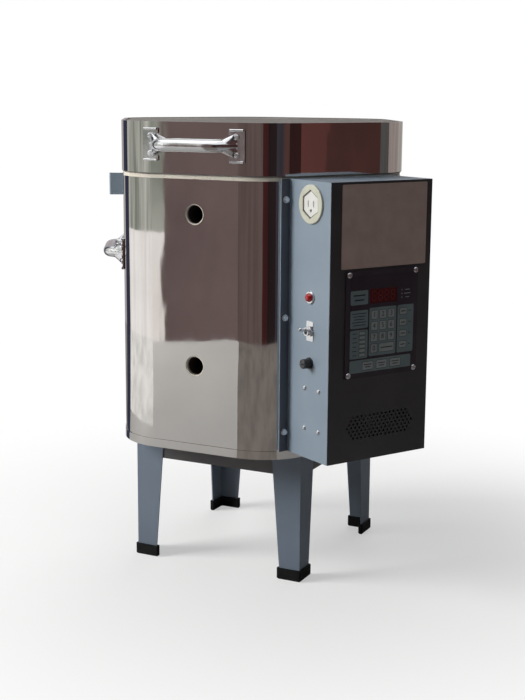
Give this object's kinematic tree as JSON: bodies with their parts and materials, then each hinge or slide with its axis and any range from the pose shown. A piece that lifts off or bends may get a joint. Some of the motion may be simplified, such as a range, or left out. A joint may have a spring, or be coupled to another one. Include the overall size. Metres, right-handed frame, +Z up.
{
  "type": "electric kiln",
  "caption": "Small six-sided top-loading electric kiln on a legged stand, with a hinged lid, firebrick chamber, heating elements and a side control box with a keypad controller.",
  "frame": {"origin": "on the floor, under the middle of the object's bounding box", "axes": "+Z up, -Y out of the front facet with the peepholes and the lid handle, +X to the right seen from the front"},
  "size_m": [0.5578, 0.5242, 0.7056],
  "materials": {
    "mirror_steel": "mirror-bright stainless sheet",
    "firebrick": "porous insulating firebrick",
    "grey_paint": "blue-grey enamel, satin; the control box's front is charcoal",
    "charcoal_paint": "charcoal enamel, satin",
    "bright_zinc": "bright plated steel",
    "foot_rubber": "matt",
    "resistance_wire": "dull oxidised wire",
    "white_ceramic": "unglazed off-white",
    "beige_plate": "satin, bare",
    "black_plate": "satin black",
    "keypad_film": "printed polyester film",
    "red_window": "clear red filter",
    "red_lens": "clear red lens",
    "ivory_plastic": "satin moulded",
    "white_plastic": "satin moulded",
    "black_plastic": "moulded phenolic",
    "fuse_glass": "clear tube with metal ends",
    "board_green": "solder mask",
    "core_iron": "varnished laminations"
  },
  "bodies": {
    "kiln_body": {"stand_rail_front": "charcoal_paint", "stand_rail_right": "charcoal_paint", "stand_rail_back": "charcoal_paint", "stand_rail_left": "charcoal_paint", "leg_front_left": "grey_paint", "foot_front_left": "foot_rubber", "leg_front_right": "grey_paint", "foot_front_right": "foot_rubber", "leg_back_right": "grey_paint", "foot_back_right": "foot_rubber", "leg_back_left": "grey_paint", "foot_back_left": "foot_rubber", "jacket": "mirror_steel", "bottom_pan": "mirror_steel", "floor_slab": "firebrick", "brick_course_1": "firebrick", "brick_course_2": "firebrick", "brick_course_3": "firebrick", "element_1": "resistance_wire", "element_2": "resistance_wire", "element_3": "resistance_wire", "element_bushings": "white_ceramic", "thermocouple": "white_ceramic", "left_handle": "bright_zinc", "right_handle": "bright_zinc", "body_screws": "bright_zinc", "hinge_body_leaf": "bright_zinc", "hinge_pin": "bright_zinc", "side_bracket": "grey_paint", "box_back_plate": "grey_paint", "box_cover": "grey_paint", "cover_screws": "bright_zinc", "label_plate": "beige_plate", "controller_plate": "black_plate", "keypad_film": "keypad_film", "display_window": "red_window", "circuit_board": "board_green", "controller_screws": "bright_zinc", "outlet_body": "ivory_plastic", "outlet_insert": "white_plastic", "pilot_bezel": "bright_zinc", "pilot_lens": "red_lens", "toggle_plate": "bright_zinc", "toggle_nut": "bright_zinc", "toggle_switch": "black_plastic", "fuse_holder": "black_plastic", "panel_rivets": "bright_zinc", "cord_gland": "black_plastic", "relays": "black_plastic", "transformer": "core_iron", "terminal_block": "white_ceramic"},
    "lid": {"lid_slab": "firebrick", "lid_band": "mirror_steel", "lid_handle": "bright_zinc", "lid_screws": "bright_zinc", "hinge_lid_leaf": "bright_zinc"},
    "toggle": {"toggle_lever": "bright_zinc"},
    "fuse": {"fuse_cap": "black_plastic", "fuse_link": "fuse_glass"}
  },
  "joints": [
    {"name": "lid_hinge", "type": "hinge", "parent": "kiln_body", "child": "lid", "pos_m": [-0.04179, 0.2161, 0.6284], "axis": [-1, 0, 0], "range_deg": [0, 98]},
    {"name": "toggle_throw", "type": "hinge", "parent": "kiln_body", "child": "toggle", "pos_m": [0.14827, -0.22531, 0.4119], "axis": [0.866, -0.5, 0], "range_deg": [0, 24]},
    {"name": "fuse_cap_turn", "type": "hinge", "parent": "kiln_body", "child": "fuse", "pos_m": [0.14777, -0.22617, 0.36489], "axis": [-0.5, -0.866, 0], "range_deg": [0, 90]}
  ]
}
